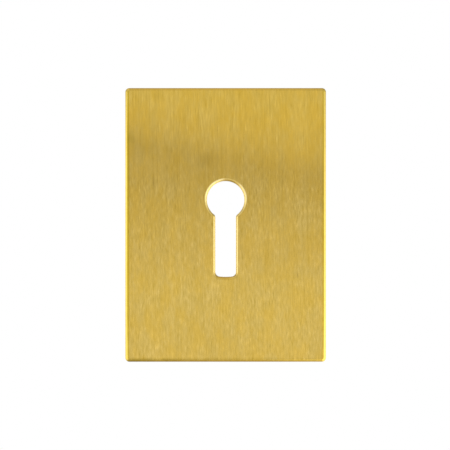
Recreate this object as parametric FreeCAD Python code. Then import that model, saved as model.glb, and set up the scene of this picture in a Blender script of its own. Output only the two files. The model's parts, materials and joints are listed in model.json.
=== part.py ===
# Keyhole escutcheon: one flat plate blanked from brass sheet, with a keyhole
# through it and every front edge rolled over softly.
#
# Millimetres, +Z up. The front faces -Y and the back lies in the plane y = 0,
# against the door or drawer front. The origin is on the key's own axis, so the
# plate is placed by lining this point up with the lock.
import FreeCAD, Part
import math
import os

# The plate, seen from the front
plate_width = 44.0
plate_height = 60.0
sheet_thickness = 2.0
key_axis_above_middle = 5.5  # from the middle of the plate's height up to the key's axis

# The keyhole, measured on its straight walls behind the rolled edge
bow_diameter = 8.2  # the round hole that the key's shank turns in
slot_width = 4.5  # the slot that the key's bit passes through
slot_reach = 16.9  # from the key's axis down to the slot's foot
slot_corner_radius = 0.6

# The edges
roll_radius = 0.65  # the front edge, round the plate and round the keyhole
flat_corner_radius = 0.25  # what a plate corner keeps inside its roll
flat_shoulder_radius = 0.1  # the same where the slot's walls meet the bow
back_edge_break = 0.15  # the burr side, taken off at 45 degrees

# A roll eats into a corner that points outwards, so its outline is that much rounder
corner_radius = flat_corner_radius + roll_radius
shoulder_radius = flat_shoulder_radius + roll_radius

plate_top = plate_height / 2 - key_axis_above_middle
plate_foot = plate_top - plate_height

node_name = "escutcheon_plate"
on_plane = 1e-6  # how near an edge's points lie to a face's plane to belong to it


def on_back(x, z):
    """A point of an outline, drawn on the back face."""
    return FreeCAD.Vector(x, 0, z)


def turned(centre, radius, degrees):
    """The point of a circle at an angle, counted from +X towards +Z."""
    angle = math.radians(degrees)
    return centre + on_back(radius * math.cos(angle), radius * math.sin(angle))


def arc(centre, radius, first, last):
    """An arc between two angles, through the one halfway."""
    middle = (first + last) / 2
    points = [turned(centre, radius, degrees) for degrees in (first, middle, last)]
    return Part.Arc(*points).toShape()


def joined(arcs):
    """A closed outline of the given arcs, each led to the next by a straight run."""
    edges = []
    for here, following in zip(arcs, arcs[1:] + arcs[:1]):
        end = here.valueAt(here.LastParameter)
        start = following.valueAt(following.FirstParameter)
        edges.append(here)
        if end.distanceToPoint(start) > on_plane:
            edges.append(Part.LineSegment(end, start).toShape())
    return Part.Wire(edges)


def plate_outline():
    """The rectangle with its four rounded corners, counter-clockwise from the top right."""
    x = plate_width / 2 - corner_radius
    top = plate_top - corner_radius
    foot = plate_foot + corner_radius
    corners = [(x, top, 0), (-x, top, 90), (-x, foot, 180), (x, foot, 270)]
    return joined([arc(on_back(cx, cz), corner_radius, first, first + 90) for cx, cz, first in corners])


def keyhole_outline():
    """The bow, the two shoulders and the slot's foot, counter-clockwise from the bow.

    A shoulder's arc bulges into the hole. It touches the slot's wall and the bow from
    the metal's side, so its centre is a shoulder radius outside both of them.
    """
    bow_radius = bow_diameter / 2
    shoulder_x = slot_width / 2 + shoulder_radius
    centres_apart = bow_radius + shoulder_radius
    shoulder_z = -math.sqrt(centres_apart**2 - shoulder_x**2)
    neck = math.degrees(math.atan2(shoulder_z, shoulder_x))

    corner_x = slot_width / 2 - slot_corner_radius
    corner_z = slot_corner_radius - slot_reach
    return joined(
        [
            arc(on_back(0, 0), bow_radius, neck, 180 - neck),
            arc(on_back(-shoulder_x, shoulder_z), shoulder_radius, -neck, 0),
            arc(on_back(-corner_x, corner_z), slot_corner_radius, 180, 270),
            arc(on_back(corner_x, corner_z), slot_corner_radius, 270, 360),
            arc(on_back(shoulder_x, shoulder_z), shoulder_radius, 180, 180 + neck),
        ]
    )


def edges_in_plane(solid, y):
    """The edges that lie wholly in the plane at this depth."""
    return [e for e in solid.Edges if all(abs(v.Point.y - y) < on_plane for v in e.Vertexes)]


def escutcheon_plate():
    """The blank with its keyhole, rolled along the front edges and deburred at the back."""
    sheet = Part.makeFace([plate_outline(), keyhole_outline()], "Part::FaceMakerBullseye")
    blank = sheet.extrude(FreeCAD.Vector(0, -sheet_thickness, 0))
    rolled = blank.makeFillet(roll_radius, edges_in_plane(blank, -sheet_thickness))
    return rolled.makeChamfer(back_edge_break, edges_in_plane(rolled, 0))


def main():
    os.makedirs("parts", exist_ok=True)
    plate = escutcheon_plate()
    plate.exportStep(f"parts/{node_name}.step")
    box = plate.BoundBox
    print(node_name, "valid", plate.isValid(), "solids", len(plate.Solids), "faces", len(plate.Faces))
    print(f"size {box.XLength:.2f} x {box.YLength:.2f} x {box.ZLength:.2f}, volume {plate.Volume:.1f}")


main()
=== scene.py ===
"""Keyhole escutcheon in satin brass, dressed for a studio picture.

The plate is one closed surface. Its section, from the keyhole's edge over the front, round
the plate's edge and back along the rear, is carried round two outlines at once: the
keyhole's and the plate's. Metres, +Z up, the front faces -Y, and the origin is on the key's
axis in the plane of the back.
"""

import json
import logging
import math
from dataclasses import dataclass
from enum import Enum
from functools import cache, reduce
from typing import Any

import bpy
import numpy as np
from bpy.types import Material, Mesh, Node, NodeTree, Object
from bpy.types import NodeSocket as Socket
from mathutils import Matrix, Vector


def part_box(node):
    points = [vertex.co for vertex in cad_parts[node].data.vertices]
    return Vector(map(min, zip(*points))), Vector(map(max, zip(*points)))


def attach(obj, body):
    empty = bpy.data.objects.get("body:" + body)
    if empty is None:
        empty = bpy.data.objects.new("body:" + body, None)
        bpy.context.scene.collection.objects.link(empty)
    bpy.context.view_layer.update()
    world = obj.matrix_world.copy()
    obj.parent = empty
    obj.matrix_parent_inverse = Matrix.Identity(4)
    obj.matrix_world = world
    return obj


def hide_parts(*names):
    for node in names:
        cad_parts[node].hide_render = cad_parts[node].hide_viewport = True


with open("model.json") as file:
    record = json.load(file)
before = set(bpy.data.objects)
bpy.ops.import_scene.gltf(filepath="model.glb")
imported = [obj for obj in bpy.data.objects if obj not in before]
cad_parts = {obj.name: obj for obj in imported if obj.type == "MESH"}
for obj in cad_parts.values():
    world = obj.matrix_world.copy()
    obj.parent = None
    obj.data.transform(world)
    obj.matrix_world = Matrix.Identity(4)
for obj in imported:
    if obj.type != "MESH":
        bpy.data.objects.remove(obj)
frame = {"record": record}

log = logging.getLogger("escutcheon")

MM = 0.001
PLATE_NODE = "escutcheon_plate"
BODY = "root"
SHEET_MAP = "sheet"

# How finely an outline is traced before it is read, in degrees and in metres
FINE_BEND = 0.05
FINE_RUN = 0.01 * MM

Colour = tuple[float, float, float]


class Zone(Enum):
    """The stretches of the plate's section, in the order of their materials."""

    FRONT = 0
    WALL = 1
    BACK = 2


# Outlines


@dataclass(frozen=True)
class Bend:
    """One arc of an outline.

    Args:
        x: the centre's place across the plate.
        z: the centre's height.
        radius: the arc's radius.
        first: the angle it starts at, in degrees from +X towards +Z.
        last: the angle it ends at.
        hollow: True where the arc bulges into the opening that the outline encloses.
    """

    x: float
    z: float
    radius: float
    first: float
    last: float
    hollow: bool = False

    def spokes(self, angles: np.ndarray) -> np.ndarray:
        """Unit vectors (cos a, sin a) for angles in degrees, as x and z."""
        turned = np.radians(angles)
        return np.column_stack([np.cos(turned), np.sin(turned)])

    def points(self, angles: np.ndarray) -> np.ndarray:
        """Points of the arc: its centre plus the radius times (cos a, sin a)."""
        return np.array([self.x, self.z]) + self.radius * self.spokes(angles)


@dataclass(frozen=True)
class Outline:
    """A closed line of arcs, each led to the next by a straight run, and its outward normals.

    Args:
        bends: the arcs, counter-clockwise as seen from the front.
        metal_inside: True where the metal lies inside the line, False round an opening.
    """

    bends: tuple[Bend, ...]
    metal_inside: bool

    def traced(self, bend_step: float, run_step: float) -> tuple[np.ndarray, np.ndarray]:
        """Points along the line and their normals, which point out of the metal.

        A straight run's points divide the chord between two arcs evenly, and keep the normal
        that both share.

        Args:
            bend_step: the largest turn between two points of an arc, in degrees.
            run_step: the longest step along a straight run.

        Returns:
            Two arrays of shape (n, 2): the points and the unit normals, as x and z.
        """
        points, normals = [], []
        for bend, following in zip(self.bends, self.bends[1:] + self.bends[:1]):
            count = max(2, math.ceil(abs(bend.last - bend.first) / bend_step) + 1)
            angles = np.linspace(bend.first, bend.last, count)
            on_arc = bend.points(angles)
            facing = bend.spokes(angles) * (-1.0 if bend.hollow else 1.0)

            chord = following.points(np.array([following.first]))[0] - on_arc[-1]
            steps = max(1, math.ceil(float(np.linalg.norm(chord)) / run_step))
            on_run = on_arc[-1] + np.arange(1, steps)[:, None] / steps * chord
            points += [on_arc, on_run]
            normals += [facing, np.repeat(facing[-1:], len(on_run), axis=0)]
        side = 1.0 if self.metal_inside else -1.0
        return np.concatenate(points), side * np.concatenate(normals)


def turn_about(points: np.ndarray, centre: np.ndarray) -> np.ndarray:
    """The angle of each point about a centre, from 0 to a full turn."""
    spokes = points - centre
    return np.arctan2(spokes[:, 1], spokes[:, 0]) % (2 * np.pi)


@dataclass(frozen=True)
class Rim:
    """An outline read at the plate's columns: one point and one normal for each."""

    points: np.ndarray
    normals: np.ndarray

    @classmethod
    def read(cls, outline: Outline, centre: np.ndarray, columns: np.ndarray) -> "Rim":
        """Reads the outline where the rays of the columns meet it.

        The line is traced very finely, each traced point gets its angle about the centre,
        and points and normals are read between neighbours by that angle.

        Args:
            outline: the line to read.
            centre: the point that the rays leave from; the whole line can be seen from it.
            columns: the angles of the rays, rising from 0 to a full turn.

        Returns:
            The rim at those columns.
        """
        points, normals = outline.traced(FINE_BEND, FINE_RUN)
        angles = turn_about(points, centre)
        order = np.argsort(angles)
        table = np.column_stack([points, normals])[order]
        read = [np.interp(columns, angles[order], column, period=2 * np.pi) for column in table.T]
        normals = np.column_stack(read[2:])
        return cls(np.column_stack(read[:2]), normals / np.linalg.norm(normals, axis=1)[:, None])

    def carried(self, insets: np.ndarray, depths: np.ndarray) -> np.ndarray:
        """The section's points carried along the rim.

        Args:
            insets: how far each point of the section lies inside the rim, into the metal.
            depths: its place in y.

        Returns:
            Points of shape (section points, columns, 3).
        """
        flat = self.points[None] - insets[:, None, None] * self.normals[None]
        level = np.broadcast_to(depths[:, None], flat.shape[:2])
        return np.stack([flat[..., 0], level, flat[..., 1]], axis=-1)

    def unrolled(self, start_inset: float, lengths: np.ndarray) -> np.ndarray:
        """The section laid out flat: each point goes on outwards by the length of its way.

        Args:
            start_inset: the inset at which the section leaves the flat front.
            lengths: the way along the section from there to each point.

        Returns:
            Map coordinates of shape (section points, columns, 2).
        """
        return self.points[None] + (lengths[:, None, None] - start_inset) * self.normals[None]


# Node trees


@dataclass(frozen=True)
class Stop:
    """One stop of a ramp: the value it stands at, and its colour there."""

    at: float
    colour: Colour


def ramp_stops(*rows: tuple[float, ...], unit: float = 1.0) -> tuple[Stop, ...]:
    """Stops from rows of a place, in the given unit, and either one grey or a colour's parts."""
    return tuple(Stop(row[0] * unit, row[1:] if row[2:] else row[1:] * 3) for row in rows)


def opaque(colour: Any) -> Any:
    """A colour of three numbers as four; a socket stays as it is."""
    return (*colour, 1.0) if isinstance(colour, tuple) and len(colour) == 3 else colour


class Wiring:
    """Adds nodes to a tree and joins them, so that a finish reads from top to bottom.

    A method that takes a value takes a plain one or the socket that feeds it.
    """

    def __init__(self, tree: NodeTree) -> None:
        """Keeps the tree and clears it."""
        self.tree = tree
        tree.nodes.clear()

    def add(self, kind: str, inputs: dict[Any, Any] | None = None, **settings: Any) -> Node:
        """One node, with its settings and its inputs.

        Args:
            kind: the node's type.
            inputs: for each input's name or number, its value.
            **settings: the node's own properties.

        Returns:
            The new node.
        """
        node = self.tree.nodes.new(kind)
        for name, value in settings.items():
            setattr(node, name, value)
        for name, value in (inputs or {}).items():
            if isinstance(value, Socket):
                self.tree.links.new(value, node.inputs[name])
            else:
                node.inputs[name].default_value = value
        return node

    def use(self, group: NodeTree, inputs: dict[str, Any]) -> Any:
        """The outputs of a shader group that gets these inputs."""
        return self.add("ShaderNodeGroup", inputs, node_tree=group).outputs

    def math(self, operation: str, *values: Any) -> Socket:
        """The result of one sum on values."""
        return self.add("ShaderNodeMath", dict(enumerate(values)), operation=operation).outputs[0]

    def minus(self, value: Any, taken: Any) -> Socket:
        """A value less another."""
        return self.math("SUBTRACT", value, taken)

    def product(self, *factors: Any) -> Socket:
        """The product of two or more values."""
        return reduce(lambda so_far, factor: self.math("MULTIPLY", so_far, factor), factors)

    def times_plus(self, value: Any, factor: Any, added: Any) -> Socket:
        """A value times a factor, plus a third value."""
        return self.math("MULTIPLY_ADD", value, factor, added)

    def swing(self, noise: Any) -> Socket:
        """How far a noise between 0 and 1 lies above or below its middle."""
        return self.minus(noise, 0.5)

    def between(
        self, value: Any, low: Any, high: Any, to_low: Any = 0.0, to_high: Any = 1.0, even: bool = False
    ) -> Socket:
        """A value taken from one range to another, and held at its ends.

        Args:
            value: what is taken.
            low: where its own range starts.
            high: where that range ends.
            to_low: what it becomes at the start.
            to_high: what it becomes at the end.
            even: True for a straight way between the two, False for one with soft ends.

        Returns:
            The new value.
        """
        sockets = {0: value, 1: low, 2: high, 3: to_low, 4: to_high}
        way = "LINEAR" if even else "SMOOTHSTEP"
        return self.add("ShaderNodeMapRange", sockets, interpolation_type=way).outputs[0]

    def blend(self, share: Any, first: Any, second: Any, way: str = "MIX") -> Socket:
        """A colour between two, or mixed in another way, by a share from 0 to 1."""
        inputs = {0: share, 6: opaque(first), 7: opaque(second)}
        return self.add("ShaderNodeMix", inputs, data_type="RGBA", blend_type=way).outputs[2]

    def tinted(self, share: Any, colour: Any, tint: Any) -> Socket:
        """A colour multiplied by a tint, by a share from 0 to 1."""
        return self.blend(share, colour, tint, "MULTIPLY")

    def ramp(self, value: Any, stops: tuple[Stop, ...]) -> Socket:
        """A colour read from stops, which stand at the value's own scale.

        Args:
            value: what the colour is read by.
            stops: two or more stops, rising.

        Returns:
            The colour.
        """
        first, last = stops[0].at, stops[-1].at
        node = self.add("ShaderNodeValToRGB", {0: self.between(value, first, last, even=True)})
        elements = node.color_ramp.elements
        for stop in stops[1:-1]:
            elements.new((stop.at - first) / (last - first))
        for element, stop in zip(elements, stops):
            element.color = opaque(stop.colour)
        return node.outputs[0]

    def noise(self, place: Any, size: Any, detail: float, roughness: float = 0.5) -> Socket:
        """Plain noise with cells of the given size."""
        cells = {"Scale": self.math("DIVIDE", 1.0, size), "Detail": detail, "Roughness": roughness}
        return self.add("ShaderNodeTexNoise", {"Vector": place, **cells}).outputs[0]

    def mapped(self, place: Any, **steps: Any) -> Socket:
        """A place moved, turned or stretched by a mapping's Location, Rotation and Scale."""
        return self.add("ShaderNodeMapping", {"Vector": place, **steps}).outputs[0]

    def axes(self, vector: Any) -> Any:
        """A vector's X, Y and Z."""
        return self.add("ShaderNodeSeparateXYZ", {0: vector}).outputs

    def length(self, vector: Any) -> Socket:
        """How long a vector is."""
        return self.add("ShaderNodeVectorMath", {0: vector}, operation="LENGTH").outputs["Value"]

    def place(self) -> Socket:
        """The place on the object, in its own metres."""
        return self.add("ShaderNodeTexCoord").outputs["Object"]

    def attribute(self, name: str, output: str = "Fac") -> Socket:
        """What a mesh attribute says."""
        return self.add("ShaderNodeAttribute", attribute_name=name).outputs[output]

    def relief(self, height: Any, depth: float, strength: float = 1.0) -> Socket:
        """The normals of a relief, from its height between 0 and 1 and its depth in metres."""
        inputs = {"Height": height, "Distance": depth, "Strength": strength}
        return self.add("ShaderNodeBump", inputs).outputs[0]

    def metal(self, colour: Any, roughness: Any, relief: Any, brushing: float = 0.0) -> None:
        """Joins a metal to the material's output.

        Args:
            colour: its base colour.
            roughness: how rough it is.
            relief: the normals of its relief.
            brushing: how far its lines stretch what it mirrors, along the unrolled sheet.
        """
        inputs = {"Base Color": colour, "Metallic": 1.0, "Roughness": roughness, "Normal": relief}
        if brushing:
            tangent = self.add("ShaderNodeTangent", direction_type="UV_MAP", uv_map=SHEET_MAP)
            inputs |= {"Anisotropic": brushing, "Tangent": tangent.outputs[0]}
        metal = self.add("ShaderNodeBsdfPrincipled", inputs)
        self.add("ShaderNodeOutputMaterial", {"Surface": metal.outputs[0]})


def new_material(name: str) -> tuple[Material, Wiring]:
    """A new material with nothing in it.

    Args:
        name: the material's name.

    Returns:
        The material, and the wiring of its nodes.
    """
    made = bpy.data.materials.new(name)
    made.use_nodes = True
    return made, Wiring(made.node_tree)


ORIGIN = (0.0, 0.0, 0.0)
# The range that most of a noise lies in
LIVELY = (0.3, 0.7)


def new_group(name: str, inputs: dict[str, Any], outputs: tuple[str, ...]) -> tuple[Wiring, Any]:
    """A shader group with named sockets and nothing inside.

    Args:
        name: the group's name.
        inputs: for each input its default, a number or a vector.
        outputs: the names of its outputs, which are all numbers.

    Returns:
        The wiring of the new group, and its inputs as they arrive inside.
    """
    group = bpy.data.node_groups.new(name, "ShaderNodeTree")
    for label, default in inputs.items():
        kind = "NodeSocketVector" if isinstance(default, tuple) else "NodeSocketFloat"
        socket = group.interface.new_socket(label, in_out="INPUT", socket_type=kind)
        socket.default_value = default
    for label in outputs:
        group.interface.new_socket(label, in_out="OUTPUT", socket_type="NodeSocketFloat")
    wiring = Wiring(group)
    return wiring, wiring.add("NodeGroupInput").outputs


@cache
def grain_group() -> NodeTree:
    """Brushed lines: noise whose cells are long along Z and narrow across it.

    There are five layers: dashes of the given width and length, hairlines a third as wide,
    streaks half as long again as the dashes, long lines that run on many times as far, and
    broad bands. Each layer's coordinates are the place divided by the cell's width and length.

    Returns:
        The group, with one output for each layer.
    """
    # For each layer its width and length, as shares of the given ones, and its detail
    layers = {
        "Dashes": (1.0, 1.0, 1.0),
        "Hairlines": (0.33, 1.3, 2.0),
        "Streaks": (1.0, 1.6, 1.0),
        "Long Lines": (1.2, 14.0, 1.0),
        "Broad Bands": (5.0, 8.0, 1.0),
    }
    inputs = {"Place": ORIGIN, "Width": 0.2 * MM, "Length": 1.4 * MM, "Slant": 0.0}
    wiring, given = new_group("brushed_lines", inputs, tuple(layers))
    place = wiring.axes(given["Place"])
    across = wiring.times_plus(place["Z"], given["Slant"], place["X"])
    made = {}
    for name, (width_share, length_share, detail) in layers.items():
        width = wiring.product(given["Width"], width_share)
        length = wiring.product(given["Length"], length_share)
        sides = ((across, width), (place["Y"], width), (place["Z"], length))
        cells = {number: wiring.math("DIVIDE", *side) for number, side in enumerate(sides)}
        in_cells = wiring.add("ShaderNodeCombineXYZ", cells).outputs[0]
        made[name] = wiring.noise(in_cells, 1.0, detail)
    wiring.add("NodeGroupOutput", made)
    return wiring.tree


@cache
def cloud_group() -> NodeTree:
    """Soft clouds of tone, as handling and lacquer leave them: broad noise, from 0 to 1.

    Returns:
        The group, with the clouds as its output.
    """
    wiring, given = new_group("soft_clouds", {"Place": ORIGIN, "Size": 8 * MM}, ("Clouds",))
    noise = wiring.noise(given["Place"], given["Size"], detail=3.0, roughness=0.7)
    wiring.add("NodeGroupOutput", {"Clouds": wiring.between(noise, *LIVELY)})
    return wiring.tree


@cache
def wear_and_highlight_group() -> NodeTree:
    """What happens along an edge: worn metal with a painted highlight on its crest, and gathered
    lacquer beside it.

    The way from where the roll starts is below zero on the flat. Rubbing rises along the roll
    and fine grit breaks it up. The rub is worn metal and also a painted highlight. It spares
    the edges that lie across the polishing and the slot's foot, which then lack the highlight.
    It reaches further in towards the plate's corners, and over the upper half of the bow,
    where keys have carried it and where it paints a wider highlight. Lacquer gathers in a
    narrow line where the roll starts, on the plate's upright edges, and along the foot in
    drops that fade to the right.

    Returns:
        The group, with one output for the rub and its painted highlight, one for the lacquer and
        one for its drops.
    """
    inputs = {
        "Place": ORIGIN,
        "Edge": 0.0,
        "Keyhole": 0.0,
        "Outward": ORIGIN,
        # Where the rub and its painted highlight start on the roll, how fast they rise, and how much further
        # in they reach at the bow's upper half and the plate's corners
        "Rub From": 0.15 * MM,
        "Rub Rise": 0.17 * MM,
        "Key Rub": 0.19 * MM,
        "Key Rub Lean": 0.15,
        "Corner Rub": 0.12 * MM,
        "Plate Middle": -5.5 * MM,
        "Polished Along": (0.31, 0.0, 0.95),
        "Spared Rub": 0.15,
        "Spared Below": -15.5 * MM,
        "Spared Fade": 0.9 * MM,
        "Spared at Foot": 0.5,
        "Grit": 0.6 * MM,
        "Grit Share": 0.75,
        "Lacquer From": 0.08 * MM,
        "Lacquer Breadth": 0.35 * MM,
        "Right Share": 0.55,
        "Drop Size": 3.0 * MM,
        "Drop Share": 0.55,
        "Drops at Right": 0.4,
    }
    ranges = {
        "Key Rub": (-2.5 * MM, 3.0 * MM),
        "Corners": (18.0 * MM, 30.0 * MM),
        "Spared": (0.87, 0.965),
        "Grit": (0.25, 0.6),
        "Facing Right": (-0.5, 0.5),
        "Facing Up": (-0.9, -0.5),
        "Drops": (0.40, 0.60),
        "Drops Thin": (-5.0 * MM, 20.0 * MM),
    }
    for name, (low, high) in ranges.items():
        inputs |= {f"{name} From": low, f"{name} To": high}
    wiring, given = new_group("edge_wear_and_highlight", inputs, ("Rubbed and Highlit", "Gathered", "Drops"))

    def over(name: str, value: Socket, to_low: Any = 0.0, to_high: Any = 1.0) -> Socket:
        """A value taken over the range of this name."""
        return wiring.between(value, given[f"{name} From"], given[f"{name} To"], to_low, to_high)

    place, facing = wiring.axes(given["Place"]), wiring.axes(given["Outward"])
    at_plate = wiring.minus(1.0, given["Keyhole"])

    borne = over("Key Rub", wiring.times_plus(place["X"], given["Key Rub Lean"], place["Z"]))
    further = wiring.product(given["Keyhole"], given["Key Rub"], borne)
    from_middle = wiring.math("ABSOLUTE", wiring.minus(place["Z"], given["Plate Middle"]))
    at_corner = over("Corners", from_middle, 0.0, given["Corner Rub"])
    rub_start = wiring.minus(given["Rub From"], wiring.times_plus(at_corner, at_plate, further))
    # The rub: worn metal, and a painted highlight along the roll
    rub_and_highlight = wiring.between(given["Edge"], rub_start, wiring.math("ADD", rub_start, given["Rub Rise"]))
    broken = over("Grit", wiring.noise(given["Place"], given["Grit"], detail=4.0), given["Grit Share"])

    ways = {0: given["Outward"], 1: given["Polished Along"]}
    along = wiring.add("ShaderNodeVectorMath", ways, operation="DOT_PRODUCT").outputs["Value"]
    spared = over("Spared", wiring.math("ABSOLUTE", along), 1.0, given["Spared Rub"])
    foot_start = wiring.minus(given["Spared Below"], given["Spared Fade"])
    at_foot = wiring.between(place["Z"], foot_start, given["Spared Below"], given["Spared at Foot"], 0.0)
    touched = wiring.minus(1.0, wiring.product(at_foot, given["Keyhole"]))

    line_end = wiring.minus(0.0, given["Lacquer From"])
    line = wiring.between(given["Edge"], wiring.minus(line_end, given["Lacquer Breadth"]), line_end)
    leaning = over("Facing Right", facing["X"], 1.0, given["Right Share"])
    upright = wiring.product(wiring.math("ABSOLUTE", facing["X"]), at_plate, leaning)

    under = over("Facing Up", facing["Z"], 1.0, 0.0)
    drops = over("Drops", wiring.noise(given["Place"], given["Drop Size"], detail=2.0), given["Drop Share"])
    thinned = over("Drops Thin", place["X"], 1.0, given["Drops at Right"])
    made = {
        "Rubbed and Highlit": wiring.product(rub_and_highlight, broken, spared, touched),
        "Gathered": wiring.product(line, wiring.minus(1.0, rub_and_highlight), upright),
        "Drops": wiring.product(under, at_plate, line, thinned, drops),
    }
    wiring.add("NodeGroupOutput", made)
    return wiring.tree


# Finishes


@dataclass(frozen=True)
class TintedOval:
    """A soft upright oval whose tint multiplies the front's colour. The front uses it for two
    scratches and for ovals of painted reflection, painted shade and painted highlight.

    Args:
        x: its middle's place across the plate.
        z: its middle's height.
        reach: how far it fades out to the side.
        tall: how many times as tall as broad it is.
        tint: what the colour is multiplied by at its middle.
    """

    x: float
    z: float
    reach: float
    tall: float
    tint: Colour

    def laid(self, wiring: Wiring, place: Any, colour: Any) -> Socket:
        """Lays the oval's tint on a colour.

        Args:
            wiring: the material's wiring.
            place: the place on the front.
            colour: the colour so far.

        Returns:
            The colour with the oval's tint on it.
        """
        middle = (-self.x, 0, -self.z / self.tall)
        apart = wiring.length(wiring.mapped(place, Location=middle, Scale=(1, 0, 1 / self.tall)))
        return wiring.tinted(wiring.between(apart, 0.0, self.reach, 1.0, 0.0), colour, self.tint)


@dataclass(frozen=True)
class SatinFront:
    """The brushed front under its lacquer, and the rolled edge where the lacquer is worn through.

    The lines are ridges and grooves of two tones, and the share of ridge is a sum of layers.
    A gain says how strong a layer is. The dashes are weaker and stronger in patches and give
    way to streaks between two heights. Clouds make the colour warmer or cooler, and they and
    the patches are squashed sideways. Gathered lacquer and its drops take some of the colour.
    The edge is worn brighter, which is also a painted highlight on the roll, and round the
    keyhole keys have worn it bare and paler, with a paler painted highlight.
    """

    ridge_colour: Colour = (0.722, 0.492, 0.094)
    groove_colour: Colour = (0.504, 0.334, 0.042)
    warm_tint: Colour = (1.027, 0.995, 0.85)
    cool_tint: Colour = (0.977, 0.998, 1.14)
    lacquer_tint: Colour = (0.87, 0.875, 0.34)
    drop_tint: Colour = (0.82, 0.81, 0.68)
    # The worn edge's colour and the keyhole's barer one, each also a painted highlight on the roll
    rub_and_highlight_colour: Colour = (0.95, 0.705, 0.145)
    bare_and_highlight_colour: Colour = (0.95, 0.75, 0.27)
    scratches_and_painted_light: tuple[TintedOval, ...] = (
        # Painted reflection of the camera, darkening the middle of the mirrored slanting band
        TintedOval(-3.9 * MM, 8.9 * MM, 3.4 * MM, 0.9, (0.91, 0.91, 0.93)),
        # Painted shade where the mirrored band meets the left edge
        TintedOval(-21.0 * MM, 13.4 * MM, 2.0 * MM, 1.2, (0.86, 0.88, 0.83)),
        # Two scratches
        TintedOval(-15.8 * MM, 3.8 * MM, 0.3 * MM, 8.0, (0.80, 0.80, 0.78)),
        TintedOval(15.75 * MM, -16.6 * MM, 0.3 * MM, 4.0, (0.78, 0.78, 0.76)),
        # Painted highlight on the left of the front, below the band
        TintedOval(-17.5 * MM, 8.0 * MM, 6.0 * MM, 0.6, (1.04, 1.04, 1.05)),
        # Painted shade along the right edge
        TintedOval(22.5 * MM, 4.0 * MM, 5.5 * MM, 7.0, (0.955, 0.955, 0.94)),
        # Painted shade at the lower left corner
        TintedOval(-21.5 * MM, -29.0 * MM, 6.5 * MM, 1.8, (0.95, 0.95, 0.94)),
    )

    # The lines
    line_width: float = 0.32 * MM
    line_length: float = 1.5 * MM
    slant: float = 0.02
    smooth: float = 0.17
    rough: float = 0.23
    edge_polish: float = 0.05
    brushing: float = 1.0
    line_depth: float = 2e-6

    # The clouds and patches, and the heights between which streaks take over
    cloud_size: float = 2.6 * MM
    patch_size: float = 5 * MM
    cloud_squash: float = 0.4
    streaks_from: float = 2 * MM
    streaks_to: float = 14 * MM

    # The layers' strengths, with those of the dashes and streaks in the weakest patch first
    least_gain: float = 0.57
    patch_gain: float = 0.7
    top_gain: float = 0.78
    glint_gain: float = 0.9
    spike_gain: float = 10.0
    hair_gain: float = 0.42
    long_gain: float = 0.45
    long_top_gain: float = 0.08
    band_gain: float = 0.25
    cloud_gain: float = 0.09

    def share_of_ridge(self, wiring: Wiring, grain: Any, patches: Any, height: Any) -> Socket:
        """How far a place is ridge and not groove.

        Short dashes prevail over the lower part, in stronger and weaker patches, and longer
        and fainter streaks near the top. Spikes drive their darkest and lightest places
        further apart. Hairlines, long lines, broad bands and the patches' own tone run
        through both.

        Args:
            wiring: the material's wiring.
            grain: the outputs of the brushed lines.
            patches: the clouds that make the grain stronger and weaker.
            height: the place's height.

        Returns:
            The share, from 0 to 1.
        """
        near_top = wiring.between(height, self.streaks_from, self.streaks_to)
        patchy = wiring.times_plus(patches, self.patch_gain, self.least_gain)
        gain = wiring.product(patchy, wiring.times_plus(near_top, self.top_gain - 1.0, 1.0))
        dashes = grain["Dashes"]
        lines = wiring.swing(wiring.times_plus(near_top, wiring.minus(grain["Streaks"], dashes), dashes))
        squares = wiring.product(lines, lines)
        spiked = wiring.product(lines, wiring.times_plus(squares, self.spike_gain, 1.0))
        glints = wiring.times_plus(squares, self.glint_gain, spiked)
        long_gain = wiring.times_plus(near_top, self.long_top_gain, self.long_gain)
        others = (
            (grain["Hairlines"], self.hair_gain),
            (grain["Long Lines"], long_gain),
            (grain["Broad Bands"], self.band_gain),
            (patches, self.cloud_gain),
        )
        share = wiring.times_plus(glints, gain, 0.5)
        for layer, layer_gain in others:
            share = wiring.times_plus(wiring.swing(layer), layer_gain, share)
        return wiring.between(share, 0.0, 1.0, even=True)

    def material(self) -> Material:
        """The material: lines in colour, roughness and relief, clouds, scratches and ovals of painted
        light and shade, and a worn edge with a painted highlight.

        Returns:
            The new material.
        """
        made, wiring = new_material("satin_brass_front")
        place, keyhole = wiring.place(), wiring.attribute("keyhole")
        lines = {"Width": self.line_width, "Length": self.line_length, "Slant": self.slant}
        grain = wiring.use(grain_group(), {"Place": place, **lines})
        drawn = wiring.mapped(place, Scale=(1, 1, self.cloud_squash))
        clouds, patches = (
            wiring.use(cloud_group(), {"Place": drawn, "Size": size})[0]
            for size in (self.cloud_size, self.patch_size)
        )
        edge = {"Edge": wiring.attribute("edge"), "Outward": wiring.attribute("outward", "Vector")}
        worn_and_highlit = wiring.use(wear_and_highlight_group(), {"Place": place, "Keyhole": keyhole, **edge})

        share = self.share_of_ridge(wiring, grain, patches, wiring.axes(place)["Z"])
        colour = wiring.blend(share, self.groove_colour, self.ridge_colour)
        colour = wiring.tinted(1.0, colour, wiring.blend(clouds, self.warm_tint, self.cool_tint))
        # Two scratches, and ovals of painted reflection, painted shade and painted highlight
        for tinted_oval in self.scratches_and_painted_light:
            colour = tinted_oval.laid(wiring, place, colour)
        colour = wiring.tinted(worn_and_highlit["Gathered"], colour, self.lacquer_tint)
        # The worn edge's colour, paler at the keyhole, which is also a painted highlight
        rub_and_highlight_colour = wiring.blend(keyhole, self.rub_and_highlight_colour, self.bare_and_highlight_colour)
        colour = wiring.blend(worn_and_highlit["Rubbed and Highlit"], colour, rub_and_highlight_colour)
        colour = wiring.tinted(worn_and_highlit["Drops"], colour, self.drop_tint)
        satin = wiring.between(grain["Hairlines"], *LIVELY, self.smooth, self.rough, even=True)
        roughness = wiring.times_plus(worn_and_highlit["Rubbed and Highlit"], -self.edge_polish, satin)
        wiring.metal(colour, roughness, wiring.relief(share, self.line_depth), self.brushing)
        return made


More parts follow.
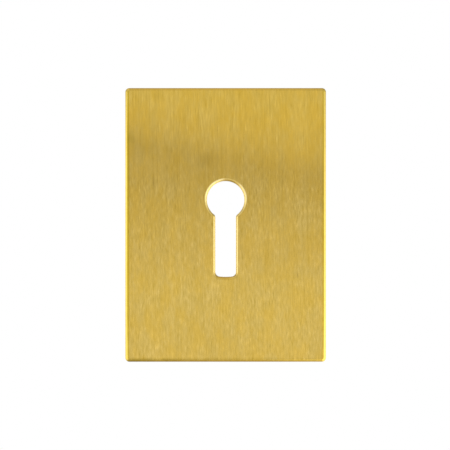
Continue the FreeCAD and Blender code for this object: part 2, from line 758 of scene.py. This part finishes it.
@dataclass(frozen=True)
class BlankedWall:
    """The cut wall: burnished by the die near the front, torn and duller towards the back."""

    burnished_colour: Colour = (0.66, 0.45, 0.10)
    torn_colour: Colour = (0.47, 0.31, 0.075)
    burnished_roughness: float = 0.2
    torn_roughness: float = 0.42
    line_width: float = 0.09 * MM
    line_length: float = 2.5 * MM
    darkest_line: float = 0.82
    lightest_line: float = 1.12
    tear_depth: float = -1.0 * MM
    tear_blur: float = 0.05 * MM
    tear_sway: float = 0.5 * MM
    sway_size: float = 1.5 * MM
    crumb_size: float = 0.12 * MM
    relief_depth: float = 12e-6
    relief_strength: float = 0.7

    def material(self) -> Material:
        """The material: streaks through the thickness and a wavering line of tearing.

        Returns:
            The new material.
        """
        made, wiring = new_material("satin_brass_wall")
        place = wiring.place()
        turned = wiring.mapped(place, Rotation=(math.pi / 2, 0, 0))
        lines = {"Place": turned, "Width": self.line_width, "Length": self.line_length}
        dashes = wiring.use(grain_group(), lines)["Dashes"]
        sway = wiring.swing(wiring.noise(place, self.sway_size, detail=3.0))
        depth = wiring.times_plus(sway, self.tear_sway, wiring.axes(place)["Y"])
        torn = wiring.between(depth, self.tear_depth - self.tear_blur, self.tear_depth + self.tear_blur)

        streaks = wiring.between(dashes, *LIVELY, self.darkest_line, self.lightest_line, even=True)
        colour = wiring.tinted(1.0, wiring.blend(torn, self.burnished_colour, self.torn_colour), streaks)
        roughness = wiring.between(torn, 0.0, 1.0, self.burnished_roughness, self.torn_roughness)
        rise = wiring.times_plus(wiring.noise(place, self.crumb_size, detail=4.0), torn, dashes)
        wiring.metal(colour, roughness, wiring.relief(rise, self.relief_depth, self.relief_strength))
        return made


@dataclass(frozen=True)
class MillBack:
    """The back as the sheet came from the rolls: even, a little dull, lightly scuffed."""

    bright_colour: Colour = (0.64, 0.435, 0.10)
    dull_colour: Colour = (0.49, 0.32, 0.08)
    line_width: float = 0.16 * MM
    line_length: float = 9.0 * MM
    slant: float = -0.01
    cloud_size: float = 11 * MM
    cloud_gain: float = 0.35
    brightness: float = 0.25
    smooth: float = 0.26
    rough: float = 0.38
    brushing: float = 0.5
    line_depth: float = 2.5e-6

    def material(self) -> Material:
        """The material: long faint rolling lines under cloudy tarnish.

        Returns:
            The new material.
        """
        made, wiring = new_material("satin_brass_back")
        place = wiring.place()
        lines = {"Width": self.line_width, "Length": self.line_length, "Slant": self.slant}
        dashes = wiring.use(grain_group(), {"Place": place, **lines})["Dashes"]
        clouds = wiring.use(cloud_group(), {"Place": place, "Size": self.cloud_size})[0]
        dulled = wiring.times_plus(clouds, self.cloud_gain, dashes)
        dullness = wiring.between(wiring.minus(dulled, self.brightness), 0.0, 1.0, even=True)
        colour = wiring.blend(dullness, self.bright_colour, self.dull_colour)
        roughness = wiring.between(clouds, 0.0, 1.0, self.smooth, self.rough)
        wiring.metal(colour, roughness, wiring.relief(dashes, self.line_depth), self.brushing)
        return made


# The plate


def placed(name: str, data: Any) -> Object:
    """Puts a new object into the scene.

    Args:
        name: the object's name.
        data: its mesh, lamp or camera.

    Returns:
        The new object.
    """
    piece = bpy.data.objects.new(name, data)
    bpy.context.scene.collection.objects.link(piece)
    return piece


def ring_faces(rows: int, columns: int) -> np.ndarray:
    """Quads between rows of points that each close on themselves, with a row after the last.

    Args:
        rows: how many strips of quads there are.
        columns: the points of a row.

    Returns:
        Vertex numbers of shape (rows, columns, 4).
    """
    row, column = np.meshgrid(np.arange(rows), np.arange(columns), indexing="ij")
    column_after = (column + 1) % columns
    corners = [(row, column), (row + 1, column), (row + 1, column_after), (row, column_after)]
    return np.stack([r * columns + c for r, c in corners], axis=-1)


@dataclass
class Escutcheon:
    """The plate with its keyhole.

    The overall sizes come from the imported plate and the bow's radius from its mount. The
    rest repeats the sizes that the plate was cut to, apart from the slot's foot. It is a
    shallow arch with rounder corners here, where the cut plate has it straight.
    """

    width: float
    height: float
    thickness: float
    top: float
    bow_radius: float
    slot_width: float = 4.5 * MM
    slot_reach: float = 16.9 * MM
    slot_corner_radius: float = 1.0 * MM
    foot_arch_radius: float = 11.0 * MM
    roll_radius: float = 0.65 * MM
    flat_corner_radius: float = 0.25 * MM
    flat_shoulder_radius: float = 0.1 * MM
    back_break: float = 0.15 * MM
    neck_height: float = -3.0 * MM

    # The mesh: bends and sharp edges in degrees, the closest columns in radians
    roll_steps: int = 12
    wall_steps: int = 6
    flat_steps: int = 10
    guard: float = 0.05 * MM
    run_ins: tuple[float, ...] = (0.0, 0.2 * MM, 0.5 * MM, 1.0 * MM)
    bend_step: float = 5.0
    run_step: float = 1.0 * MM
    closest_columns: float = 0.0012
    side_margin: float = 0.3
    sharp_from: float = 30.0

    @classmethod
    def from_frame(cls) -> "Escutcheon":
        """Reads the plate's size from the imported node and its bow's radius from the mount.

        Returns:
            The plate, in metres.
        """
        low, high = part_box(PLATE_NODE)
        bow = next(mount for mount in frame["record"]["mounts"] if mount["kind"] == "bore")
        return cls(
            width=high[0] - low[0],
            height=high[2] - low[2],
            thickness=high[1] - low[1],
            top=high[2],
            bow_radius=bow["dims"]["r_mm"] * MM,
        )

    def plate_outline(self) -> Outline:
        """The rectangle with four rounded corners.

        Returns:
            The outline of the plate's walls.
        """
        radius = self.flat_corner_radius + self.roll_radius
        x = self.width / 2 - radius
        top = self.top - radius
        foot = self.top - self.height + radius
        centres = [(x, top, 0), (-x, top, 90), (-x, foot, 180), (x, foot, 270)]
        return Outline(tuple(Bend(cx, cz, radius, first, first + 90) for cx, cz, first in centres), True)

    def keyhole_outline(self) -> Outline:
        """The bow, the two shoulders and the slot's foot.

        A shoulder touches the slot's wall and the bow from the metal's side, so its centre is
        its radius outside both of them. A corner touches the wall and the foot's arch from
        inside, so its centre is its radius inside both.

        Returns:
            The outline of the keyhole's walls.
        """
        shoulder = self.flat_shoulder_radius + self.roll_radius
        shoulder_x = self.slot_width / 2 + shoulder
        shoulder_z = -math.sqrt((self.bow_radius + shoulder) ** 2 - shoulder_x**2)
        neck = math.degrees(math.atan2(shoulder_z, shoulder_x))
        corner, arch = self.slot_corner_radius, self.foot_arch_radius
        corner_x = self.slot_width / 2 - corner
        arch_z = arch - self.slot_reach
        corner_z = arch_z - math.sqrt((arch - corner) ** 2 - corner_x**2)
        lean = math.degrees(math.asin(corner_x / (arch - corner)))
        bends = (
            Bend(0, 0, self.bow_radius, neck, 180 - neck),
            Bend(-shoulder_x, shoulder_z, shoulder, -neck, 0, hollow=True),
            Bend(-corner_x, corner_z, corner, 180, 270 - lean),
            Bend(0, arch_z, arch, 270 - lean, 270 + lean),
            Bend(corner_x, corner_z, corner, 270 + lean, 360),
            Bend(shoulder_x, shoulder_z, shoulder, 180, 180 + neck, hollow=True),
        )
        return Outline(bends, False)

    def columns(self, centre: np.ndarray) -> np.ndarray:
        """The rays from the neck at which both outlines are read.

        Each outline asks for rays where it bends, and those that almost fall together are
        thinned to one.

        Args:
            centre: the point in the neck that the rays leave from.

        Returns:
            Rising angles from 0 to a full turn.
        """
        asked = [
            turn_about(outline.traced(self.bend_step, self.run_step)[0], centre)
            for outline in (self.plate_outline(), self.keyhole_outline())
        ]
        angles = np.unique(np.concatenate(asked))
        bins = np.floor(angles / self.closest_columns)
        return angles[np.concatenate([[True], np.diff(bins) > 0])]

    def edge_section(self) -> tuple[np.ndarray, np.ndarray, np.ndarray]:
        """The section of an edge: its rolled quarter, its straight wall and the broken back.

        The roll's point at the angle a lies roll (1 - sin a) inside the wall and
        roll (1 - cos a) behind the front.

        Returns:
            The insets, the depths in y, and the way along the section to each point.
        """
        roll, front = self.roll_radius, -self.thickness
        angles = np.linspace(0, np.pi / 2, self.roll_steps + 1)
        wall = np.linspace(front + roll, -self.back_break, self.wall_steps + 1)[1:]
        insets = np.concatenate([roll * (1 - np.sin(angles)), np.zeros(self.wall_steps)])
        depths = np.concatenate([front + roll * (1 - np.cos(angles)), wall])
        steps = np.hypot(np.diff(insets), np.diff(depths))
        return insets, depths, np.concatenate([[0], np.cumsum(steps)])

    def flat_rows(self, first: Rim, second: Rim, inset: float, depth: float) -> tuple[np.ndarray, np.ndarray]:
        """Rows of a flat face from one rim to the other, close together at both ends.

        Each column's points lie on the chord between its two ends: a few at fixed steps from
        each end, and the rest evenly between them.

        Args:
            first: the rim that the rows start at.
            second: the rim that they end at.
            inset: how far the flat begins inside both rims.
            depth: the flat's place in y.

        Returns:
            The points of shape (rows, columns, 3), and how far each lies inside the flat's
            nearest edge, of shape (rows, columns).
        """
        level, edge_inset, run_inset = np.array([[depth], [inset], [inset + self.guard]])
        start, stop = (rim.carried(run_inset, level)[0] for rim in (first, second))
        along = (stop - start) / np.linalg.norm(stop - start, axis=1)[:, None]
        steps = np.array(self.run_ins)[:, None, None]
        opening, closing = start + steps * along, stop - steps[::-1] * along
        shares = np.linspace(0, 1, self.flat_steps + 1)[1:-1, None, None]
        middle = opening[-1] * (1 - shares) + closing[0] * shares
        points = np.concatenate([opening, middle, closing])

        edges = np.concatenate([rim.carried(edge_inset, level)[0] for rim in (first, second)])
        apart = points.reshape(-1, 1, 3)[..., ::2] - edges[None, :, ::2]
        inside = np.sqrt((apart**2).sum(axis=-1)).min(axis=1)
        return points, inside.reshape(points.shape[:2])

    def section_rows(self, plate: Rim, keyhole: Rim) -> dict[str, np.ndarray]:
        """All rows of the closed section, from the keyhole's edge over the front and back.

        Args:
            plate: the plate's rim at the columns.
            keyhole: the keyhole's rim at the same columns.

        Returns:
            "points" (rows, columns, 3), "map" (rows, columns, 2), "edge" (rows, columns), the
            way from where the roll starts, below zero on the flat, "keyhole" (rows, columns),
            1 at the keyhole and 0 at the plate's edge, "outward" (rows, columns, 3), the way
            that the edge faces, and for each row "zone", the finish of the strip after it.
        """
        insets, depths, lengths = self.edge_section()
        front, front_inside = self.flat_rows(keyhole, plate, self.roll_radius, -self.thickness)
        back, back_inside = self.flat_rows(plate, keyhole, self.back_break, 0.0)
        rims = (plate, keyhole)
        plate_edge, keyhole_edge = (rim.carried(insets, depths) for rim in rims)
        plate_lip, keyhole_lip = (rim.carried(np.array([self.back_break]), np.zeros(1)) for rim in rims)
        plate_laid, keyhole_laid = (rim.unrolled(self.roll_radius, lengths) for rim in rims)
        rows = [front, plate_edge, plate_lip, back, keyhole_lip, keyhole_edge[::-1]]
        maps = [row[..., ::2] for row in rows]
        maps[1], maps[-1] = plate_laid, keyhole_laid[::-1]

        way = np.repeat(lengths[:, None], front.shape[1], axis=1)
        edges = [-front_inside, way, way[-1:], back_inside + lengths[-1], way[-1:], way[::-1]]
        share = np.clip(np.linspace(1 + self.side_margin, -self.side_margin, len(front)), 0, 1)
        across = np.repeat(share[:, None], front.shape[1], axis=1)
        nothing, whole = np.zeros_like(way), np.ones_like(way)
        keyhole_side = np.concatenate([across, nothing, nothing[:1], across[::-1], whole[:1], whole])
        facing = keyhole_side[..., None] * keyhole.normals + (1 - keyhole_side[..., None]) * plate.normals

        edge_zone = [Zone.FRONT] * self.roll_steps + [Zone.WALL] * (self.wall_steps + 1)
        back_zone = [Zone.BACK] * (len(back) + 1)
        zones = [Zone.FRONT] * len(front) + edge_zone + back_zone + edge_zone[::-1] + [Zone.FRONT]
        return {
            "points": np.concatenate(rows),
            "map": np.concatenate(maps),
            "edge": np.concatenate(edges),
            "keyhole": keyhole_side,
            "outward": np.insert(facing, 1, 0.0, axis=-1),
            "zone": np.array([zone.value for zone in zones]),
        }

    def build(self) -> Object:
        """The plate's mesh: section rows times columns, closed both ways.

        Returns:
            The new object.
        """
        centre = np.array([0.0, self.neck_height])
        columns = self.columns(centre)
        plate, keyhole = (
            Rim.read(outline, centre, columns) for outline in (self.plate_outline(), self.keyhole_outline())
        )
        rows = self.section_rows(plate, keyhole)
        row_count, column_count = rows["edge"].shape
        # The row after the last is the first again, so the numbers start anew there
        faces = ring_faces(row_count, column_count).reshape(-1, 4) % rows["edge"].size

        mesh = bpy.data.meshes.new("brass_plate")
        mesh.from_pydata(rows["points"].reshape(-1, 3), [], faces)
        kinds = {"edge": "FLOAT", "keyhole": "FLOAT", "outward": "FLOAT_VECTOR"}
        for name, kind in kinds.items():
            attribute = mesh.attributes.new(name, kind, "POINT")
            slot = "vector" if kind == "FLOAT_VECTOR" else "value"
            attribute.data.foreach_set(slot, rows[name].astype(np.float32).ravel())
        corners = rows["map"].reshape(-1, 2)[faces.ravel()].astype(np.float32)
        mesh.uv_layers.new(name=SHEET_MAP).uv.foreach_set("vector", corners.ravel())
        mesh.polygons.foreach_set("material_index", np.repeat(rows["zone"], column_count).astype(np.int32))
        mesh.shade_smooth()
        mesh.set_sharp_from_angle(angle=math.radians(self.sharp_from))
        mesh.update()
        return placed("brass_plate", mesh)

    def dress(self, piece: Object) -> None:
        """Gives each zone its finish.

        Args:
            piece: the plate's object.
        """
        finishes = {Zone.FRONT: SatinFront(), Zone.WALL: BlankedWall(), Zone.BACK: MillBack()}
        for zone in Zone:
            piece.data.materials.append(finishes[zone].material())


# The studio


@dataclass(frozen=True)
class Softbox:
    """A flat lamp with an even face, above the plate and in front of it.

    Args:
        place: the centre of its face.
        facing: the point that it shines towards.
        side: its width and height.
        radiance: how bright its face is, where 1 is white.
    """

    place: tuple[float, float, float] = (0, -0.05, 0.5)
    facing: tuple[float, float, float] = (0, 0, -0.1)
    side: float = 0.9
    radiance: float = 1.2

    def build(self) -> Object:
        """The lamp, turned to its subject and hidden from the camera.

        Returns:
            The new object.
        """
        lamp = bpy.data.lights.new("overhead_softbox", "AREA")
        lamp.shape = "SQUARE"
        lamp.size = self.side
        lamp.energy = self.radiance * self.side**2 * math.pi
        piece = placed("overhead_softbox", lamp)
        piece.location = self.place
        direction = Vector(self.facing) - Vector(self.place)
        piece.rotation_euler = direction.to_track_quat("-Z", "Y").to_euler()
        piece.visible_camera = piece.visible_glossy = False
        return piece


@dataclass(frozen=True)
class LightTent:
    """A tent of white cloth round the plate, which only the metal sees.

    Its front is a flat disc that the plate's front mirrors: above a slanting line the tone
    goes by the way over the line, and below it by the height. From the disc's rim a cone and
    a tube lead past the plate. Their tone goes by the direction round the plate's middle, in
    degrees from +X towards +Z, and is dimmer behind the plate. Heights are counted from the
    plate's middle, and depths from its back.
    """

    distance: float = 60 * MM
    disc_radius: float = 58 * MM
    tube_radius: float = 85 * MM
    tube_from: float = -35 * MM
    tube_to: float = 250 * MM
    columns: int = 96
    sides_from: float = 50 * MM
    sides_at: float = 61 * MM
    dim_from: float = -20 * MM
    dim_at: float = 15 * MM
    dimmed: float = 0.8
    line_height: float = 15.4 * MM
    line_slope: float = 0.18
    line_blur: float = 1.0 * MM
    above_line: tuple[Stop, ...] = ramp_stops(
        (0.0, 0.70, 0.71, 0.92), (1.5, 0.78, 0.79, 1.00), (4.0, 0.92, 0.925, 1.07),
        (8.0, 1.00, 1.00, 1.09), (14.0, 1.05, 1.055, 1.08), (22.0, 1.06, 1.06, 1.06),
        unit=MM,
    )
    below_line: tuple[Stop, ...] = ramp_stops(
        (-30.0, 1.05, 1.09, 1.48), (-20.0, 1.045, 1.085, 1.46), (-14.0, 1.02, 1.06, 1.43),
        (-8.6, 0.97, 1.00, 1.37), (-0.8, 0.93, 0.955, 1.27), (3.2, 0.88, 0.90, 1.18),
        (11.0, 0.80, 0.81, 1.03), (19.0, 0.725, 0.735, 0.94),
        unit=MM,
    )
    round_about: tuple[Stop, ...] = ramp_stops(
        (-180, 1.30), (-150, 1.25), (-134, 1.12), (-122, 0.95), (-111, 0.36), (-105, 0.55),
        (-100, 0.80, 0.75, 0.82), (-80, 0.82, 0.77, 0.82), (-72, 1.10), (-60, 1.60), (-15, 1.60),
        (5, 1.35), (16, 1.10), (34, 0.58), (50, 0.60), (62, 0.74), (90, 0.90, 0.84, 0.80),
        (145, 0.60), (160, 1.05), (170, 1.30), (180, 1.30),
    )

    def mesh(self, middle: float) -> Mesh:
        """Rings about the line through the plate's middle, the first one closed by a flat disc.

        A ring's point is (r cos a, y, middle + r sin a), with r and y from the profile.

        Args:
            middle: the height of the plate's middle.

        Returns:
            The new mesh, which faces inwards.
        """
        radii = np.array([self.disc_radius, self.tube_radius, self.tube_radius])[:, None]
        depths = np.array([-self.distance, self.tube_from, self.tube_to])[:, None]
        angles = np.linspace(0, 2 * np.pi, self.columns, endpoint=False)
        level = np.broadcast_to(depths, (len(depths), self.columns))
        points = np.stack([radii * np.cos(angles), level, middle + radii * np.sin(angles)], axis=-1)

        quads = ring_faces(len(depths) - 1, self.columns)[..., ::-1].reshape(-1, 4)
        disc = [tuple(range(self.columns - 1, -1, -1))]
        mesh = bpy.data.meshes.new("light_tent")
        mesh.from_pydata(points.reshape(-1, 3), [], quads.tolist() + disc)
        return mesh

    def cloth(self, middle: float) -> Material:
        """The cloth, lit through from behind.

        Args:
            middle: the height of the plate's middle.

        Returns:
            The new material.
        """
        made, wiring = new_material("tent_cloth")
        centred = wiring.mapped(wiring.place(), Location=(0, 0, -middle))
        at = wiring.axes(centred)

        over_line = wiring.minus(wiring.times_plus(at["X"], self.line_slope, at["Z"]), self.line_height)
        above = wiring.ramp(over_line, self.above_line)
        below = wiring.ramp(at["Z"], self.below_line)
        front = wiring.blend(wiring.between(over_line, -self.line_blur, self.line_blur), below, above)

        direction = wiring.math("DEGREES", wiring.math("ARCTAN2", at["Z"], at["X"]))
        behind = wiring.between(at["Y"], self.dim_from, self.dim_at, 1.0, self.dimmed)
        sides = wiring.tinted(1.0, wiring.ramp(direction, self.round_about), behind)
        spread = wiring.length(wiring.mapped(centred, Scale=(1, 0, 1)))
        tone = wiring.blend(wiring.between(spread, self.sides_from, self.sides_at), front, sides)
        glow = wiring.add("ShaderNodeEmission", {"Color": tone, "Strength": 1.0})
        wiring.add("ShaderNodeOutputMaterial", {"Surface": glow.outputs[0]})
        made.cycles.emission_sampling = "NONE"
        return made

    def build(self, middle: float) -> Object:
        """The tent in its place, hidden from all but mirrored rays.

        Args:
            middle: the height of the plate's middle.

        Returns:
            The new object.
        """
        tent = placed("light_tent", self.mesh(middle))
        tent.data.materials.append(self.cloth(middle))
        tent.visible_camera = tent.visible_diffuse = tent.visible_shadow = False
        tent.visible_transmission = tent.visible_volume_scatter = False
        return tent


def seen_directly(wiring: Wiring) -> Socket:
    """Tells the rays that see a thing from those that are only lit by it.

    Args:
        wiring: the tree's wiring.

    Returns:
        1 for a ray from the camera, a mirror or through glass, and 0 for the rest.
    """
    path = wiring.add("ShaderNodeLightPath").outputs
    seen = wiring.math("MAXIMUM", path["Is Camera Ray"], path["Is Glossy Ray"])
    return wiring.math("MAXIMUM", seen, path["Is Transmission Ray"])


@dataclass(frozen=True)
class PaleFloor:
    """The floor below the plate, pale near it and running out to plain white."""

    drop: float = 60 * MM
    reach: float = 6.0
    colour: Colour = (0.80, 0.80, 0.79)
    white_from: float = 0.22
    white_at: float = 0.42

    def build(self, foot: float) -> Object:
        """The floor.

        Args:
            foot: the height of the plate's foot, which the floor lies below.

        Returns:
            The new object.
        """
        z, r = foot - self.drop, self.reach
        mesh = bpy.data.meshes.new("pale_floor")
        mesh.from_pydata([(-r, -r, z), (r, -r, z), (r, r, z), (-r, r, z)], [], [(0, 1, 2, 3)])
        floor = placed("pale_floor", mesh)
        made, wiring = new_material("pale_floor")
        away = wiring.length(wiring.mapped(wiring.place(), Location=(0, 0, -z)))
        far = wiring.between(away, self.white_from, self.white_at)
        shown = wiring.product(far, seen_directly(wiring))
        matt = wiring.add("ShaderNodeBsdfDiffuse", {"Color": opaque(self.colour)})
        white = wiring.add("ShaderNodeEmission", {"Color": (1, 1, 1, 1), "Strength": 1.0})
        mixed = wiring.add("ShaderNodeMixShader", {0: shown, 1: matt.outputs[0], 2: white.outputs[0]})
        wiring.add("ShaderNodeOutputMaterial", {"Surface": mixed.outputs[0]})
        made.cycles.emission_sampling = "NONE"
        mesh.materials.append(made)
        return floor


@dataclass(frozen=True)
class Surround:
    """The studio's white walls, which fill in softly."""

    fill: float = 0.4

    def build(self) -> None:
        """White wherever it is seen or mirrored, and the fill for everything else."""
        world = bpy.data.worlds.new("surround")
        world.use_nodes = True
        wiring = Wiring(world.node_tree)
        strength = wiring.math("MAXIMUM", seen_directly(wiring), self.fill)
        walls = wiring.add("ShaderNodeBackground", {"Color": (1, 1, 1, 1), "Strength": strength})
        wiring.add("ShaderNodeOutputWorld", {"Surface": walls.outputs[0]})
        world.cycles.sampling_method = "NONE"
        bpy.context.scene.world = world


@dataclass(frozen=True)
class StudioCamera:
    """The camera, square on to the plate.

    The distance is that from the plate's widest section, and the sensor's width is in
    millimetres. The plate's width, and how far its middle lies right of the picture's middle
    and above it, are in pixels of a square picture.
    """

    distance: float = 0.5
    sensor: float = 36.0
    nearest: float = 0.01
    farthest: float = 20.0
    picture: float = 450.0
    plate_pixels: float = 200.7
    plate_right: float = 0.66
    plate_up: float = 0.1

    def build(self, plate: Escutcheon) -> Object:
        """The camera, with the lens that gives the plate its width in the picture.

        Args:
            plate: the plate that it looks at.

        Returns:
            The new object.
        """
        data = bpy.data.cameras.new("studio_camera")
        pixel = plate.width / self.plate_pixels
        data.sensor_width = self.sensor
        data.lens = self.sensor * self.distance / (self.picture * pixel)
        data.clip_start, data.clip_end = self.nearest, self.farthest
        camera = placed("studio_camera", data)
        depth = plate.roll_radius - plate.thickness - self.distance
        height = plate.top - plate.height / 2 - self.plate_up * pixel
        camera.location = (-self.plate_right * pixel, depth, height)
        camera.rotation_euler = (math.pi / 2, 0, 0)
        bpy.context.scene.camera = camera
        return camera


def main() -> None:
    """Builds the plate and the studio."""
    logging.basicConfig(level=logging.INFO, format="%(name)s: %(message)s")
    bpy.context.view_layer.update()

    plate = Escutcheon.from_frame()
    piece = plate.build()
    plate.dress(piece)
    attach(piece, BODY)
    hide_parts(PLATE_NODE)
    log.info("%s: %d faces", piece.name, len(piece.data.polygons))

    lamp = Softbox().build()
    log.info("%s: %.2f W", lamp.name, lamp.data.energy)
    tent = LightTent().build(plate.top - plate.height / 2)
    floor = PaleFloor().build(plate.top - plate.height)
    for staged in (tent, floor):
        log.info("%s: %d faces", staged.name, len(staged.data.polygons))
    Surround().build()
    camera = StudioCamera().build(plate)
    log.info("%s: lens %.1f mm", camera.name, camera.data.lens)

    bpy.context.scene.view_settings.view_transform = "Standard"


if __name__ == "__main__":
    main()
